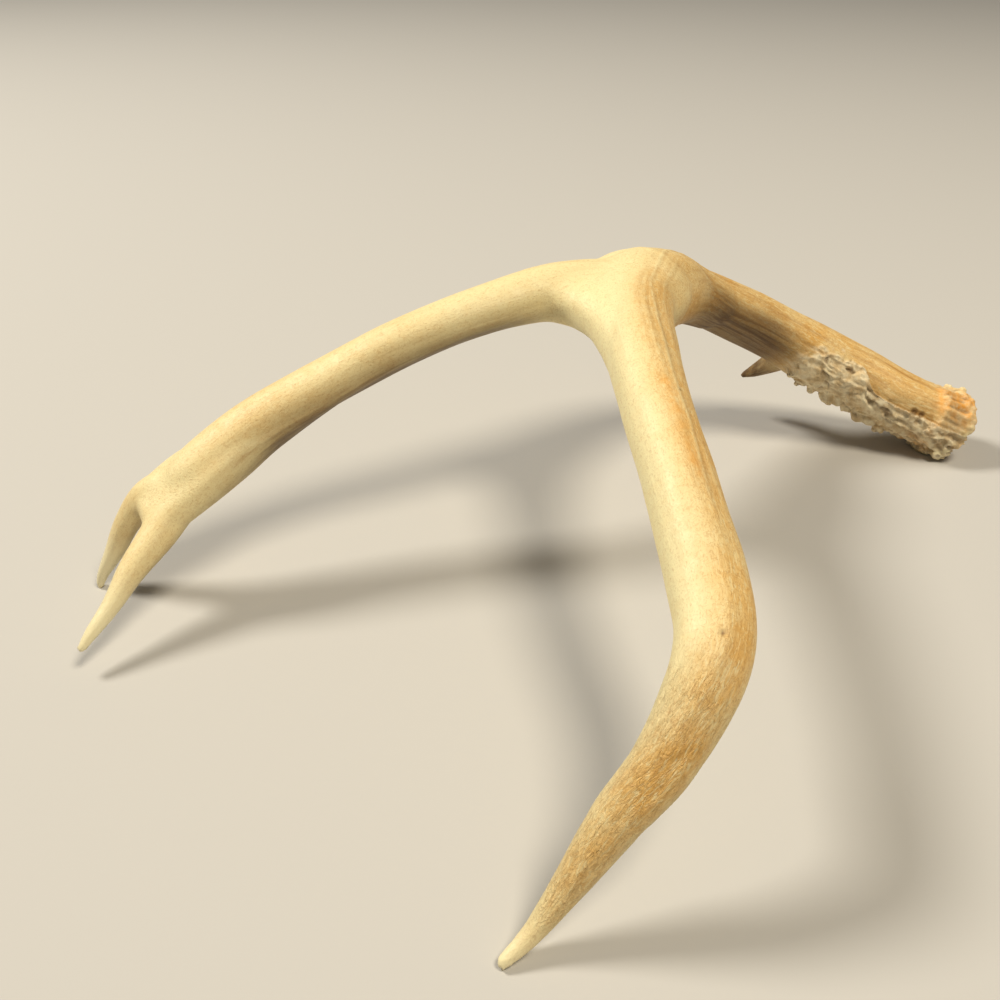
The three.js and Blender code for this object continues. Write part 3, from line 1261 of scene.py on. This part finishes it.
def beam_bone(colours):
    return bone_material("stained_antler_bone", colours, 0.4, 0.58)


def tine_bone(colours):
    return bone_material("dry_antler_bone", colours, 0.36, 0.55)


def tip_bone(colours):
    return bone_material("rubbed_antler_bone", colours, 0.25, 0.48)


FINISHES = {"beam_bone": beam_bone, "tine_bone": tine_bone, "tip_bone": tip_bone}


def floor_material(colour):
    """Matt painted board, with a faint tooth so that it doesn't look like paper."""
    material, tree, shader = new_material("matt_painted_board")
    tooth = add(tree, "TexNoise", vector=add(tree, "TexCoord", output="Object"), scale=1 / (3 * MM))
    normal = add(tree, "Bump", height=tooth, distance=0.02 * MM)
    feed(tree, shader, base_color=colour, roughness=0.85, normal=normal)
    return material


# ---- operators --------------------------------------------------------------------------------


class ANTLER_OT_grow(bpy.types.Operator):
    """Grow the antler's skin, sculpt it and part it at its forks"""

    bl_idname = "antler.grow"
    bl_label = "Grow Antler"

    def execute(self, context):
        shape = context.scene.antler_shape
        skin = grow(shape)
        sculpt(skin, shape)
        for name, obj in separate(skin).items():
            node, _, _, slot = PIECES[name]
            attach(obj, "root")
            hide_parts(node)
        return {"FINISHED"}


class ANTLER_OT_finish(bpy.types.Operator):
    """Give each piece its bone"""

    bl_idname = "antler.finish"
    bl_label = "Finish Antler"

    def execute(self, context):
        colours = context.scene.antler_colours
        bones = {slot: make(colours) for slot, make in FINISHES.items()}
        for name, (_, _, _, slot) in PIECES.items():
            mesh = bpy.data.objects[name].data
            mesh.materials.clear()
            mesh.materials.append(bones[slot])
        return {"FINISHED"}


def aim(obj, target):
    obj.rotation_euler = (Vector(target) - obj.location).to_track_quat("-Z", "Y").to_euler()


class ANTLER_OT_stage(bpy.types.Operator):
    """Lay the floor, and set the light and the camera"""

    bl_idname = "antler.stage"
    bl_label = "Set Stage"

    def execute(self, context):
        scene, stage = context.scene, context.scene.antler_stage
        bm = bmesh.new()
        bmesh.ops.create_grid(bm, x_segments=1, y_segments=1, size=6)
        mesh = bpy.data.meshes.new("floor")
        bm.to_mesh(mesh)
        bm.free()
        mesh.materials.append(floor_material(stage.floor))
        new_object("floor", mesh)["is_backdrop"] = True

        scene.world = bpy.data.worlds.new("studio")
        scene.world.use_nodes = True
        sky = scene.world.node_tree.nodes["Background"].inputs
        sky["Color"].default_value = stage.floor
        sky["Strength"].default_value = stage.sky

        for name, place, size, power, tint in (
            ("key", (-1.9, 0.8, 2.3), 0.8, stage.key, "#FFF9EC"),
            ("fill", (1.0, -0.75, 2.8), 1.0, stage.fill, "#FFF4DE"),
        ):
            lamp = bpy.data.lights.new(name, "AREA")
            lamp.shape = "DISK"
            lamp.size = size
            lamp.energy = power
            lamp.color = linear(tint)[:3]
            light = bpy.data.objects.new(name, lamp)
            light.location = place
            aim(light, (0, 0, 0.05))
            scene.collection.objects.link(light)

        view = bpy.data.objects.new("camera", bpy.data.cameras.new("camera"))
        view.location = (Vector((-34, -347, 0)) + Vector(SETTLE)) * MM
        view.location.z = stage.eye_height
        view.rotation_euler = (np.radians(stage.tilt), 0, 0)
        view.data.lens = stage.lens
        view.data.sensor_width = 36
        view.data.clip_start = 0.01
        scene.collection.objects.link(view)
        scene.camera = view
        scene.view_settings.view_transform = "Standard"
        return {"FINISHED"}


class ANTLER_PT_panel(bpy.types.Panel):
    """The steps that make the antler"""

    bl_idname = "ANTLER_PT_panel"
    bl_label = "Shed Antler"
    bl_space_type = "VIEW_3D"
    bl_region_type = "UI"
    bl_category = "Antler"

    def draw(self, context):
        layout, scene = self.layout, context.scene
        for settings in (scene.antler_shape, scene.antler_colours, scene.antler_stage):
            for name in type(settings).__annotations__:
                layout.prop(settings, name)
        for step in OPERATORS:
            layout.operator(step.bl_idname)


OPERATORS = (ANTLER_OT_grow, ANTLER_OT_finish, ANTLER_OT_stage)
SETTINGS = {"antler_shape": AntlerShape, "antler_colours": AntlerColours, "antler_stage": AntlerStage}


def register():
    for kind in (*SETTINGS.values(), *OPERATORS, ANTLER_PT_panel):
        bpy.utils.register_class(kind)
    for name, kind in SETTINGS.items():
        setattr(bpy.types.Scene, name, PointerProperty(type=kind))


def unregister():
    for name in SETTINGS:
        delattr(bpy.types.Scene, name)
    for kind in (ANTLER_PT_panel, *reversed(OPERATORS), *SETTINGS.values()):
        bpy.utils.unregister_class(kind)


def main():
    register()
    bpy.ops.antler.grow()
    bpy.ops.antler.finish()
    bpy.ops.antler.stage()
    boxes = {"cad": CAD_BOX, "visual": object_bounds()}
    {name: [list(corner) for corner in box] for name, box in boxes.items()}


if __name__ == "__main__":
    main()
